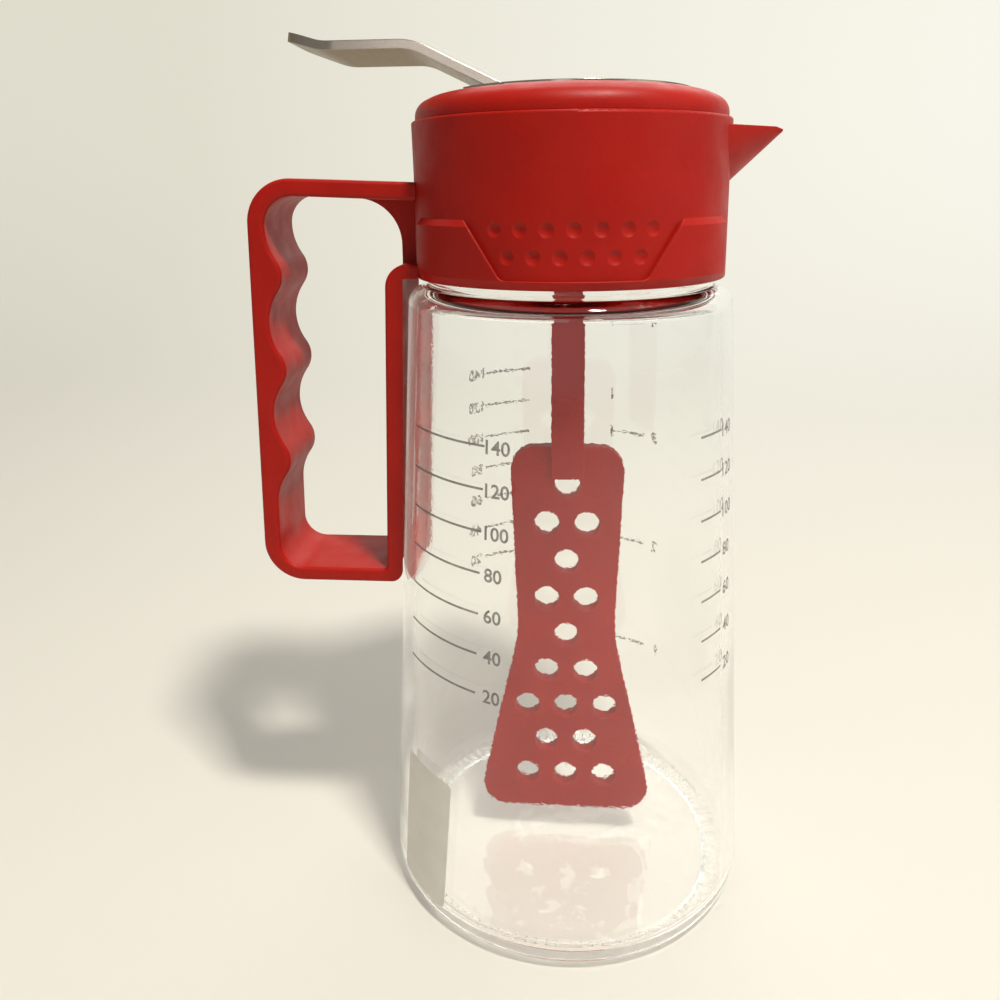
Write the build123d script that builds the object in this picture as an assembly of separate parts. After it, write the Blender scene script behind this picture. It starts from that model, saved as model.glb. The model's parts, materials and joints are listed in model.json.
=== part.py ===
from build123d import *
import os
from math import atan2, cos, degrees, hypot, pi, radians, sin, tan

# All sizes are in millimetres. The bottle's axis is Z and its foot stands on z = 0.
# The spout points along +X, the handle and the thumb lever along -X.

# Clearances
seat_gap = 0.2
touch_gap = 0.05
pin_gap = 0.05
rod_gap = 0.15
turn_gap = 0.3
overrun = 2.0

# Glass
foot_diameter = 85.0
shoulder_diameter = 71.0
shoulder_height = 141.0
shoulder_round = 3.8
heel_round = 4.2
glass_wall = 2.8
glass_floor = 3.5
floor_round = 2.5
punt_depth = 1.0
stand_ring_width = 2.5
neck_diameter = 62.0
neck_length = 11.0
lip_round = 1.0

# Collar
rim_gap = 1.9
collar_height = 32.5
collar_diameter = 67.4
collar_wall = 1.6
collar_flare = 0.25
collar_flare_height = 11.0
ledge_thickness = 1.6
ledge_reach = 2.5
rim_round = 0.5

# Raised side bands with the dimpled notch
band_proud = 0.9
band_slope_height = 1.3
band_foot = 0.5
band_height = 13.0
band_half_angle = 65.0
band_round = 2.0
notch_top_half_width = 21.0
notch_foot_half_width = 13.8
notch_foot_height = 1.7
notch_turn = 1.5
dimple_diameter = 3.0
dimple_depth = 0.45
dimple_pitch = 5.1
dimple_upper_count = 7
dimple_lower_count = 6
dimple_upper_rise = 11.3
dimple_lower_rise = 6.2

# Spout
spout_reach = 44.6
spout_drop = 1.7
spout_dip = 0.5
spout_dip_length = 1.8
spout_depth = 11.2
spout_half_width = 11.0
spout_tip_round = 1.0
spout_wall = 1.3

# Handle
handle_width = 20.8
handle_reach = 70.3
arm_drop = 10.85
arm_fall = 1.5
arm_thickness = 3.8
grip_length = 91.95
grip_lean = 1.5
grip_thickness = 3.75
finger_depth = 3.35
finger_pitch = 20.85
finger_crest_round = 6.0
finger_slope_share = 0.97
first_finger_drop = 21.05
finger_crests = 3
grip_top_round = 9.5
grip_foot_round = 9.2
grip_inner_round = 6.3
bar_thickness = 3.2
strut_foot_gap = 0.3
strut_top_gap = 1.5
strut_foot_thickness = 2.4
strut_top_thickness = 2.6
strut_heel_round = 3.4
elbow_round = 5.0
flange_thickness = 3.1
web_thickness = 5.0
web_proud = 3.1
web_round = 10.0
bar_corner_round = 1.0
handle_edge_round = 0.8

# Cap ring
cap_diameter = 66.2
cap_height = 5.7
cap_wall_height = 3.1
cap_wall_round = 3.5
cap_shoulder_width = 3.7
cap_shoulder_height = 4.9
cap_shoulder_round = 8.0
cap_recess_depth = 1.8
cap_mouth_radius = 22.0
cap_ledge_thickness = 3.1
spigot_thickness = 1.5
spigot_depth = 3.0
rear_relief = 1.3

# Steel plate and thumb tongue
plate_diameter = 51.0
plate_thickness = 1.8
plate_gap = 0.3
tongue_width = 26.8
tongue_root = 12.4
tongue_slope = 25.8
tongue_rise = 9.45
tongue_flat_end = 50.4
tongue_reach = 58.5
tongue_tip_rise = 2.7
tongue_bend = 12.0
tongue_corner = 12.8
slit_width = 0.7

# Lever hinge and the carrier under the plate
hinge_offset = 19.5
hinge_drop = 3.6
lever_travel = 20.0
hinge_pin_diameter = 2.4
knuckle_diameter = 4.8
knuckle_width = 4.0
knuckle_inner = 4.0
carrier_radius = 20.5
carrier_thickness = 2.0
clevis_ear_width = 6.8
clevis_ear_thickness = 1.8
plate_screw_diameter = 2.4
plate_screw_head = 4.4
plate_screw_head_height = 1.3
plate_screw_bite = 1.2
plate_screw_x_half = 9.0
plate_screw_y_half = 11.0

# Rod
rod_width = 6.4
rod_thickness = 3.2
rod_pin_diameter = 2.4
eye_side_play = 0.6
rod_collar_radius = 7.0
rod_collar_thickness = 1.2
rod_tail = 20.5

# Pour cup, gasket and valve
cup_depth = 8.0
cup_wall = 1.4
cup_floor = 1.6
cup_glass_gap = 0.6
cup_flange_thickness = 1.4
cup_flange_radius = 30.8
gasket_thickness = 1.0
gasket_width = 2.4
port_diameter = 5.0
port_circle_radius = 9.3
port_count = 8
valve_radius = 14.0
valve_thickness = 1.6

# Spring and its bridge
bridge_ring_thickness = 1.4
bridge_ring_width = 4.0
bridge_height = 7.4
bridge_bar_width = 9.0
bridge_bar_thickness = 1.8
bridge_leg_thickness = 1.6
bridge_hub_radius = 8.0
spring_radius = 5.4
spring_wire = 0.9
spring_turns = 4

# Paddle
stem_width = 7.5
stem_thickness = 5.6
stem_free_gap = 0.6
socket_depth = 13.0
stem_length = 33.0
blade_thickness = 3.0
blade_floor_gap = 5.5
blade_top_width = 27.0
blade_waist_width = 23.0
blade_foot_width = 44.0
blade_corner = 6.0
blade_hole_diameter = 6.0
blade_hole_pitch = 9.5
paddle_pin_diameter = 1.6

# Handle screws
handle_screw_diameter = 1.8
handle_screw_head = 4.0
handle_screw_head_height = 1.2
handle_screw_length = 9.0
handle_screw_half_spacing = 5.0

# Levels and radii that follow from the sizes above
foot_radius = foot_diameter / 2
shoulder_radius = shoulder_diameter / 2
neck_radius = neck_diameter / 2
neck_bore_radius = neck_radius - glass_wall
mouth_height = shoulder_height + neck_length
rim_height = shoulder_height + rim_gap
seam_height = rim_height + collar_height
collar_radius = collar_diameter / 2
collar_bore = collar_radius - collar_wall
cap_radius = cap_diameter / 2
cap_top = seam_height + cap_height
recess_floor = cap_top - cap_recess_depth
plate_bottom = recess_floor + plate_gap
plate_radius = plate_diameter / 2
recess_radius = plate_radius + turn_gap
gasket_bottom = mouth_height + seat_gap
cup_flange_bottom = gasket_bottom + gasket_thickness
cup_flange_top = cup_flange_bottom + cup_flange_thickness
bridge_ring_top = cup_flange_top + bridge_ring_thickness
cup_bottom = mouth_height - cup_depth
cup_radius = neck_bore_radius - cup_glass_gap
cup_floor_top = cup_bottom + cup_floor
valve_bottom = cup_floor_top + seat_gap
valve_top = valve_bottom + valve_thickness
rod_collar_top = valve_top + rod_collar_thickness
bridge_top = bridge_ring_top + bridge_height
bridge_underside = bridge_top - bridge_bar_thickness
hinge_height = plate_bottom - hinge_drop
rod_pin_height = hinge_height - hinge_offset * tan(radians(lever_travel) / 2)
lever_angle = radians(lever_travel)
rod_lift = hinge_offset * sin(lever_angle) + (hinge_height - rod_pin_height) * (1 - cos(lever_angle))
arm_top = seam_height - arm_drop
arm_underside = arm_top - arm_thickness
grip_foot = arm_top - grip_length
bar_top = grip_foot + bar_thickness
flange_top = rim_height + flange_thickness
stem_top = cup_bottom - rod_lift - stem_free_gap
rod_bottom = stem_top - socket_depth + seat_gap
blade_top = stem_top - stem_length
blade_bottom = glass_floor + blade_floor_gap


def glass_radius(height):
    """Outer radius of the tapered glass wall at a height."""
    return foot_radius + (shoulder_radius - foot_radius) * height / shoulder_height


def rounded_face(corners):
    """Flat face from corners (x, y, round); a round of zero leaves a sharp corner."""
    count = len(corners)
    starts, ends, mids = [], [], []
    for index in range(count):
        x, y, size = corners[index]
        px, py, _ = corners[index - 1]
        nx, ny, _ = corners[(index + 1) % count]
        before = Vector(px - x, py - y).normalized()
        after = Vector(nx - x, ny - y).normalized()
        corner = Vector(x, y)
        if size <= 0:
            starts.append(corner)
            ends.append(corner)
            mids.append(None)
            continue
        half = radians(before.get_angle(after)) / 2
        reach = size / tan(half)
        bisector = (before + after).normalized()
        centre = corner + bisector * (size / sin(half))
        starts.append(corner + before * reach)
        ends.append(corner + after * reach)
        mids.append(centre - bisector * size)
    edges = []
    for index in range(count):
        if mids[index] is not None:
            edges.append(ThreePointArc(starts[index], mids[index], ends[index]))
        tail, head = ends[index], starts[(index + 1) % count]
        if (head - tail).length > touch_gap / 100:
            edges.append(Line(tail, head))
    return make_face(edges)


def turned(corners):
    """Solid of revolution about Z from corners (radius, height, round)."""
    return revolve(Plane.XZ * rounded_face(corners), axis=Axis.Z)


def side_plate(corners, width):
    """Solid of constant width along Y from corners (x, z, round)."""
    return extrude(Plane.XZ * rounded_face(corners), amount=width / 2, both=True)


def block(low, high):
    """Box between two opposite corners."""
    size = [high[axis] - low[axis] for axis in range(3)]
    middle = [(high[axis] + low[axis]) / 2 for axis in range(3)]
    return Pos(*middle) * Box(*size)


def upright(radius, bottom, top):
    """Cylinder about Z between two heights."""
    return Pos(0, 0, (bottom + top) / 2) * Cylinder(radius, top - bottom)


def cross_rod(radius, length, x, z):
    """Cylinder along Y, centred on y = 0."""
    return Pos(x, 0, z) * (Rot(90, 0, 0) * Cylinder(radius, length))


def long_rod(radius, length, z):
    """Cylinder along X, centred on the bottle's axis."""
    return Pos(0, 0, z) * (Rot(0, 90, 0) * Cylinder(radius, length))


def make_glass():
    """Tapered bottle with a rounded heel, a shallow punt and a plain neck."""
    stand_inner = foot_radius - heel_round - stand_ring_width
    inner_shoulder = shoulder_height - glass_wall
    floor_radius = glass_radius(glass_floor) - glass_wall
    inner_top_radius = glass_radius(inner_shoulder) - glass_wall
    return turned([
        (0, punt_depth, 0),
        (stand_inner - punt_depth, punt_depth, 0),
        (stand_inner, 0, 0),
        (foot_radius, 0, heel_round),
        (shoulder_radius, shoulder_height, shoulder_round),
        (neck_radius, shoulder_height, lip_round),
        (neck_radius, mouth_height, lip_round),
        (neck_bore_radius, mouth_height, lip_round),
        (neck_bore_radius, inner_shoulder, lip_round),
        (inner_top_radius, inner_shoulder, shoulder_round / 2),
        (floor_radius, glass_floor, floor_round),
        (0, glass_floor, 0),
    ])


def spout_section(x, inset):
    """Half ellipse below the spout's top edge, at a distance x from the axis."""
    share = (spout_reach - x) / (spout_reach - collar_radius)
    dip = spout_dip * max(0, 1 - (spout_reach - x) / spout_dip_length)
    top = seam_height - spout_drop - dip
    wide = spout_tip_round + (spout_half_width - spout_tip_round) * share - inset
    deep = spout_tip_round + (spout_depth - spout_tip_round) * share - dip - inset
    arc = EllipticalCenterArc((0, 0), wide, deep, start_angle=180, arc_size=180)
    lid = Line(arc @ 1, arc @ 0)
    face = make_face([arc, lid])
    return Plane(origin=(x, 0, top), x_dir=(0, 1, 0), z_dir=(1, 0, 0)) * face


def spout_shape(inset):
    """Beak that narrows from the collar to its tip, as a loft of half ellipses."""
    root = collar_bore - spout_wall - overrun * (inset > 0)
    stations = (root, spout_reach - spout_dip_length, spout_reach - inset)
    return loft([spout_section(x, inset) for x in stations], ruled=True)


def side_band(side):
    """Raised band on one side of the collar, with the dimpled notch left open."""
    low = rim_height + band_foot
    high = rim_height + band_height
    ring = rounded_face([
        (collar_radius - collar_wall / 2, low, 0),
        (collar_radius, low, 0),
        (collar_radius + band_proud, low + band_slope_height, 0),
        (collar_radius + band_proud, high - band_slope_height, 0),
        (collar_radius, high, 0),
        (collar_radius - collar_wall / 2, high, 0),
    ])
    band = revolve(Plane.XZ * ring, axis=Axis.Z, revolution_arc=2 * band_half_angle)
    band = Rot(0, 0, side * 90 - band_half_angle) * band
    notch_foot = rim_height + notch_foot_height
    slope = (notch_top_half_width - notch_foot_half_width) / (high - notch_foot)
    top_half_width = notch_top_half_width + slope * overrun
    notch = rounded_face([
        (-top_half_width, high + overrun, 0),
        (-notch_foot_half_width, notch_foot, band_round),
        (notch_foot_half_width, notch_foot, band_round),
        (top_half_width, high + overrun, 0),
    ])
    notch = extrude(Plane.XZ * notch, amount=-side * (collar_radius + overrun))
    return band - Rot(0, 0, -side * notch_turn) * notch


def dimples(side):
    """Rows of shallow round hollows in the notch, as spheres to be cut away."""
    ball = (dimple_diameter ** 2 / 4 + dimple_depth ** 2) / (2 * dimple_depth)
    distance = collar_radius + ball - dimple_depth
    hollows = []
    rows = ((dimple_upper_count, dimple_upper_rise), (dimple_lower_count, dimple_lower_rise))
    for count, rise in rows:
        for index in range(count):
            across = (index - (count - 1) / 2) * dimple_pitch
            angle = across / collar_radius + radians(notch_turn)
            x = distance * sin(angle)
            y = side * distance * cos(angle)
            hollows.append(Pos(x, y, rim_height + rise) * Sphere(ball))
    return hollows


def make_collar():
    """Collar shell with its inner ledge, flared top, spout, side bands and screw holes."""
    ledge_bottom = bridge_ring_top
    ledge_top = ledge_bottom + ledge_thickness
    ledge_bore = collar_bore - ledge_reach
    shell = turned([
        (collar_bore, rim_height, rim_round),
        (collar_radius, rim_height, rim_round),
        (collar_radius, seam_height - collar_flare_height, 0),
        (collar_radius + collar_flare, seam_height, rim_round),
        (collar_bore, seam_height, 0),
        (collar_bore, ledge_top + ledge_reach / 2, 0),
        (ledge_bore, ledge_top, 0),
        (ledge_bore, ledge_bottom, 0),
        (collar_bore, ledge_bottom, 0),
    ])
    beak = spout_shape(0) - upright(collar_bore, rim_height, seam_height)
    shell = shell + beak
    for side in (-1, 1):
        shell = shell + side_band(side)
        for hollow in dimples(side):
            shell = shell - hollow
    shell = shell - spout_shape(spout_wall)
    for hole in handle_screw_shapes(pin_gap, overrun):
        shell = shell - hole
    return shell


def glass_clearance():
    """Space round the glass and under the strut's rounded heel, kept free of the handle."""
    heel_radius = glass_radius(grip_foot) + strut_foot_gap
    top_radius = glass_radius(shoulder_height) + strut_top_gap
    return turned([
        (0, grip_foot - overrun, 0),
        (heel_radius + 2 * strut_heel_round, grip_foot - overrun, 0),
        (heel_radius + 2 * strut_heel_round, grip_foot, 0),
        (heel_radius, grip_foot, strut_heel_round),
        (top_radius, shoulder_height, 0),
        (top_radius, rim_height, 0),
        (0, rim_height, 0),
    ])


def arm_lowering(distance):
    """How far the sloping arm has come down at a distance from the bottle's axis."""
    return arm_fall * (handle_reach - distance) / (handle_reach - neck_radius)


def lean_in(height):
    """How far the leaning grip lies nearer to the axis at a height than at its foot."""
    return grip_lean * (height - grip_foot) / grip_length


def window_corners():
    """Corners of the handle's finger window, down the grooved grip and up the strut."""
    groove_x = -handle_reach + grip_thickness
    half_pitch = finger_pitch / 2
    slope = finger_slope_share * 2 * atan2(finger_depth, half_pitch)
    bow = 1 / cos(slope) - 1
    groove_round = (half_pitch * tan(slope) - finger_depth) / bow - finger_crest_round
    sharp_groove_x = groove_x - groove_round * bow
    sharp_crest_x = groove_x + finger_depth + finger_crest_round * bow
    run_out = (sharp_crest_x - groove_x) / tan(slope)
    first = arm_top - first_finger_drop
    last = first - (finger_crests - 1) * finger_pitch
    strut_foot_x = -glass_radius(bar_top) - strut_foot_gap - strut_foot_thickness
    strut_top_x = -glass_radius(flange_top) - strut_top_gap - strut_top_thickness
    grip = [
        (groove_x, arm_underside, grip_inner_round),
        (groove_x, first + run_out, groove_round),
    ]
    for index in range(finger_crests):
        height = first - index * finger_pitch
        grip.append((sharp_crest_x, height, finger_crest_round))
        if index < finger_crests - 1:
            grip.append((sharp_groove_x, height - half_pitch, groove_round))
    grip.append((groove_x, last - run_out, groove_round))
    grip.append((groove_x, bar_top, grip_foot_round - grip_thickness))
    leaning = [(x + lean_in(height), height, size) for x, height, size in grip]
    return [(-neck_radius, arm_underside - arm_fall, 0)] + leaning + [
        (strut_foot_x, bar_top, bar_corner_round),
        (strut_top_x, flange_top, elbow_round),
        (-neck_radius, flange_top, 0),
    ]


def make_handle():
    """D handle: arm, grooved grip, bar, strut along the glass and thin gusset web."""
    outline = rounded_face([
        (-neck_radius, arm_top - arm_fall, 0),
        (-handle_reach + grip_lean, arm_top, grip_top_round),
        (-handle_reach, grip_foot, grip_foot_round),
        (-neck_radius, grip_foot, 0),
    ])
    profile = outline - rounded_face(window_corners())
    frame = extrude(Plane.XZ * profile, amount=handle_width / 2, both=True)
    sides = frame.faces().filter_by(Axis.Y)
    frame = fillet(sides.edges(), handle_edge_round)
    arm_middle = (arm_top + arm_underside) / 2
    flange_middle = (flange_top + rim_height) / 2
    web_x = -collar_radius - web_proud
    web_end_x = web_x - web_round - overrun
    end_lowering = arm_lowering(-web_end_x)
    web = side_plate([
        (-neck_radius, arm_middle - arm_fall, 0),
        (-neck_radius, flange_middle, 0),
        (web_x, flange_middle, 0),
        (web_x, arm_underside - arm_lowering(-web_x), web_round),
        (web_end_x, arm_underside - end_lowering, 0),
        (web_end_x, arm_middle - end_lowering, 0),
    ], web_thickness)
    frame = frame + web
    frame = frame - glass_clearance()
    frame = frame - upright(collar_radius + touch_gap, rim_height - overrun, cap_top)
    for hole in handle_screw_shapes(pin_gap, touch_gap):
        frame = frame - hole
    return frame


def handle_screw_places():
    """Frames of the two screws, under their heads and with Z towards the axis."""
    reach = handle_screw_half_spacing + handle_screw_head / 2
    seat = -(collar_bore ** 2 - reach ** 2) ** 0.5 + touch_gap
    middle = collar_radius + handle_screw_length / 2
    height = (arm_top + arm_underside) / 2 - arm_lowering(middle)
    turn = Rot(0, 90, 0)
    return [Pos(seat, side * handle_screw_half_spacing, height) * turn for side in (-1, 1)]


def handle_screw_shapes(gap, extra):
    """Screws from inside the collar into the arm, grown by a gap for their holes."""
    length = handle_screw_length + extra
    shapes = []
    for place in handle_screw_places():
        shank = Pos(0, 0, -length / 2) * Cylinder(handle_screw_diameter / 2 + gap, length)
        shapes.append(place * shank)
    return shapes


def make_handle_screws():
    """Two pan-head screws from inside the collar, each a shank and a domed head."""
    screws = []
    for place, shank in zip(handle_screw_places(), handle_screw_shapes(0, 0)):
        head = Cylinder(handle_screw_head / 2, handle_screw_head_height)
        top = head.edges().group_by(Axis.Z)[-1]
        head = fillet(top, handle_screw_head_height / 2)
        head = Pos(0, 0, handle_screw_head_height / 2) * head
        screws.append(shank + place * head)
    return screws


def knuckle_pairs(inner, width, radius, length_to):
    """Two knuckles about the lever hinge, as cylinders with a block towards a height."""
    knuckles = []
    for side in (-1, 1):
        middle = side * (inner + width / 2)
        barrel = Pos(-hinge_offset, middle, hinge_height) * (Rot(90, 0, 0) * Cylinder(radius, width))
        knuckles.append(barrel + block(
            (-hinge_offset - radius, middle - width / 2, hinge_height),
            (-hinge_offset + radius, middle + width / 2, length_to),
        ))
    return knuckles


def make_cap_ring():
    """Top ring with the plate's recess, its spigot and the hinge knuckles."""
    ledge_bottom = recess_floor - cap_ledge_thickness
    spigot_radius = collar_bore - seat_gap
    ring = turned([
        (cap_radius, seam_height, 0),
        (cap_radius, seam_height + cap_wall_height, cap_wall_round),
        (cap_radius - cap_shoulder_width, seam_height + cap_shoulder_height, cap_shoulder_round),
        (recess_radius, cap_top, rim_round),
        (recess_radius, recess_floor, 0),
        (cap_mouth_radius, recess_floor, 0),
        (cap_mouth_radius, ledge_bottom, 0),
        (spigot_radius - spigot_thickness, ledge_bottom, 0),
        (spigot_radius - spigot_thickness, seam_height - spigot_depth, 0),
        (spigot_radius, seam_height - spigot_depth, 0),
        (spigot_radius, seam_height, 0),
    ])
    knuckle_radius = knuckle_diameter / 2
    outer_knuckle = knuckle_inner + knuckle_width + turn_gap
    relief_floor = recess_floor - rear_relief
    for knuckle in knuckle_pairs(outer_knuckle, knuckle_width, knuckle_radius, relief_floor):
        ring = ring + knuckle
    swing = hypot(knuckle_radius, hinge_drop)
    ring = ring - block(
        (-hinge_offset - swing - turn_gap, -outer_knuckle, ledge_bottom - knuckle_diameter),
        (-tongue_root, outer_knuckle, cap_top),
    )
    backward = (hinge_drop + plate_thickness) * sin(lever_angle)
    relief = upright(recess_radius + backward, relief_floor, cap_top + overrun)
    relief = relief - block(
        (-tongue_root, -cap_radius, relief_floor - overrun),
        (cap_radius, cap_radius, cap_top + 2 * overrun),
    )
    ring = ring - relief
    spout_side = block(
        (0, -spout_half_width, seam_height - spigot_depth - overrun),
        (cap_radius, spout_half_width, seam_height),
    )
    ring = ring - spout_side
    return ring - cross_rod(hinge_pin_diameter / 2 + pin_gap, hinge_pin_length() + 2 * seat_gap,
                            -hinge_offset, hinge_height)


def hinge_pin_length():
    """Length of the hinge pin, from one outer knuckle's end to the other's."""
    return 2 * (knuckle_inner + 2 * knuckle_width + turn_gap)


def make_hinge_pin():
    """Plain steel pin with eased ends."""
    pin = Cylinder(hinge_pin_diameter / 2, hinge_pin_length())
    ends = pin.edges().filter_by(GeomType.CIRCLE)
    pin = chamfer(ends, hinge_pin_diameter / 8)
    return Pos(-hinge_offset, 0, hinge_height) * (Rot(90, 0, 0) * pin)


def offset_corners(points, shift):
    """Corners of a path of straight runs, moved sideways by a distance."""
    moved = []
    last = len(points) - 1
    for index, (x, z) in enumerate(points):
        normals = []
        for first, second in ((index - 1, index), (index, index + 1)):
            if first < 0 or second > last:
                continue
            run = Vector(points[second][0] - points[first][0], points[second][1] - points[first][1])
            run = run.normalized()
            normals.append(Vector(-run.Y, run.X))
        mean = normals[0]
        if len(normals) > 1:
            mean = (normals[0] + normals[1]).normalized()
        stretch = shift / mean.dot(normals[0])
        moved.append((x + mean.X * stretch, z + mean.Y * stretch))
    return moved


def make_lever_plate():
    """Round cover plate with the thumb tongue bent up between two slits at its rear."""
    flat_bottom = plate_bottom + tongue_rise
    slope_run = tongue_rise / tan(radians(tongue_slope))
    path = [
        (tongue_root / 2 - tongue_root, plate_bottom),
        (-tongue_root, plate_bottom),
        (-tongue_root - slope_run, flat_bottom),
        (-tongue_flat_end, flat_bottom),
        (-tongue_reach, flat_bottom + tongue_tip_rise),
    ]
    upper = offset_corners(path, -plate_thickness)
    inner_bend = tongue_bend - plate_thickness
    lower = [(x, z, size) for (x, z), size in zip(path, (0, tongue_bend, inner_bend, tongue_bend, 0))]
    above = [(x, z, size) for (x, z), size in zip(upper, (0, inner_bend, tongue_bend, inner_bend, 0))]
    tongue = side_plate(lower + above[::-1], tongue_width)
    half = tongue_width / 2
    plan = rounded_face([
        (0, -half, 0),
        (0, half, 0),
        (-tongue_reach - plate_thickness, half, tongue_corner),
        (-tongue_reach - plate_thickness, -half, tongue_corner),
    ])
    plan = Pos(0, 0, plate_bottom - overrun) * extrude(plan, amount=tongue_reach)
    tongue = tongue & plan
    disc = upright(plate_radius, plate_bottom, plate_bottom + plate_thickness)
    disc = disc - block(
        (-plate_radius - overrun, -half - slit_width, plate_bottom - overrun),
        (-tongue_root, half + slit_width, plate_bottom + plate_thickness + overrun),
    )
    plate = disc + tongue
    for hole in plate_screw_holes(plate_screw_bite):
        plate = plate - hole
    return plate


def plate_screw_places():
    """Centres (x, y) of the four screws that hold the carrier to the plate."""
    return [
        (sign_x * plate_screw_x_half, sign_y * plate_screw_y_half)
        for sign_x in (-1, 1)
        for sign_y in (-1, 1)
    ]


def plate_screw_holes(bite):
    """Holes through the carrier and into the plate for the screws' shanks."""
    bottom = plate_bottom - carrier_thickness - overrun
    top = plate_bottom + bite + touch_gap
    radius = plate_screw_diameter / 2 + pin_gap
    return [Pos(x, y, 0) * upright(radius, bottom, top) for x, y in plate_screw_places()]


def make_plate_screws():
    """Four small screws with domed heads under the carrier."""
    carrier_bottom = plate_bottom - carrier_thickness
    screws = []
    for x, y in plate_screw_places():
        shank = upright(plate_screw_diameter / 2, carrier_bottom, plate_bottom + plate_screw_bite)
        head = upright(plate_screw_head / 2, carrier_bottom - plate_screw_head_height, carrier_bottom)
        rim = head.edges().group_by(Axis.Z)[0]
        head = fillet(rim, plate_screw_head_height / 2)
        screws.append(Pos(x, y, 0) * (shank + head))
    return screws


def make_lever_carrier():
    """Moulding under the plate: disc, hinge knuckles and the clevis for the rod."""
    bottom = plate_bottom - carrier_thickness
    knuckle_radius = knuckle_diameter / 2
    body = upright(carrier_radius, bottom, plate_bottom)
    rear = -hinge_offset + knuckle_radius + turn_gap
    beside_knuckles = block(
        (-carrier_radius - overrun, knuckle_inner + knuckle_width, bottom - overrun),
        (rear, carrier_radius, plate_bottom + overrun),
    )
    body = body - beside_knuckles - beside_knuckles.mirror(Plane.XZ)
    body = body - block(
        (-carrier_radius - overrun, -carrier_radius, bottom - overrun),
        (-hinge_offset - knuckle_radius, carrier_radius, plate_bottom + overrun),
    )
    for knuckle in knuckle_pairs(knuckle_inner, knuckle_width, knuckle_radius, plate_bottom):
        body = body + knuckle
    body = body - cross_rod(hinge_pin_diameter / 2 + pin_gap, carrier_radius * 2, -hinge_offset, hinge_height)
    ear_inner = rod_thickness / 2 + turn_gap
    for side in (-1, 1):
        middle = side * (ear_inner + clevis_ear_thickness / 2)
        ear = Pos(0, middle, rod_pin_height) * (
            Rot(90, 0, 0) * Cylinder(clevis_ear_width / 2, clevis_ear_thickness))
        ear = ear + block(
            (-clevis_ear_width / 2, middle - clevis_ear_thickness / 2, rod_pin_height),
            (clevis_ear_width / 2, middle + clevis_ear_thickness / 2, bottom + carrier_thickness / 2),
        )
        body = body + ear
    body = body - cross_rod(rod_pin_diameter / 2 + pin_gap, rod_pin_length() + overrun, 0, rod_pin_height)
    for hole in plate_screw_holes(0):
        body = body - hole
    return body


def rod_pin_length():
    """Length of the clevis pin across both ears."""
    return rod_thickness + 2 * turn_gap + 2 * clevis_ear_thickness


def make_rod_pin():
    """Steel pin through the clevis ears and the rod's eye."""
    pin = Cylinder(rod_pin_diameter / 2, rod_pin_length())
    ends = pin.edges().filter_by(GeomType.CIRCLE)
    pin = chamfer(ends, rod_pin_diameter / 8)
    return Pos(0, 0, rod_pin_height) * (Rot(90, 0, 0) * pin)


def rod_passage(bottom, top, gap):
    """Square-cornered space that the flat rod fills between two heights."""
    return block(
        (-rod_width / 2 - gap, -rod_thickness / 2 - gap, bottom),
        (rod_width / 2 + gap, rod_thickness / 2 + gap, top),
    )


def make_mixing_rod():
    """Flat bar with a slotted eye at its head and a collar over the valve disc."""
    eye_top = rod_pin_height + rod_pin_diameter / 2 + rod_gap
    top = eye_top + rod_pin_diameter / 2
    rod = rod_passage(rod_bottom, top, 0)
    rod = rod + upright(rod_collar_radius, valve_top, rod_collar_top)
    slot_radius = rod_pin_diameter / 2 + rod_gap
    play = eye_side_play - rod_gap
    slot = block(
        (-play, -rod_thickness, rod_pin_height - slot_radius),
        (play, rod_thickness, rod_pin_height + slot_radius),
    )
    for side in (-1, 1):
        slot = slot + cross_rod(slot_radius, 2 * rod_thickness, side * play, rod_pin_height)
    rod = rod - slot
    return rod - long_rod(paddle_pin_diameter / 2 + pin_gap, 2 * rod_width, paddle_pin_height())


def paddle_pin_height():
    """Height of the pin that holds the paddle's stem on the rod."""
    return stem_top - socket_depth / 2


def make_paddle_pin():
    """Small pin through the stem and the rod inside it, flush with the stem's sides."""
    return long_rod(paddle_pin_diameter / 2, stem_width - 2 * touch_gap, paddle_pin_height())


def blade_holes():
    """Staggered rows of round holes that stay inside the blade's outline."""
    holes = []
    rows = int((blade_top - blade_bottom - blade_hole_pitch) / blade_hole_pitch) + 1
    span = (rows - 1) * blade_hole_pitch
    start = (blade_top + blade_bottom) / 2 - span / 2
    for row in range(rows):
        height = start + row * blade_hole_pitch
        room = blade_half_width(height) - blade_hole_diameter
        shift = (row % 2) * blade_hole_pitch / 2
        count = int((room - shift) / blade_hole_pitch)
        for index in range(-count - 1, count + 1):
            x = index * blade_hole_pitch + shift
            if abs(x) > room or (shift == 0 and abs(x) > count * blade_hole_pitch):
                continue
            holes.append(cross_rod(blade_hole_diameter / 2, 2 * blade_thickness, x, height))
    return holes


def blade_half_width(height):
    """Half width of the waisted blade at a height, between straight runs."""
    waist = (blade_top + blade_bottom) / 2
    if height > waist:
        share = (height - waist) / (blade_top - waist)
        return (blade_waist_width + (blade_top_width - blade_waist_width) * share) / 2
    share = (waist - height) / (waist - blade_bottom)
    return (blade_waist_width + (blade_foot_width - blade_waist_width) * share) / 2


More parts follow.
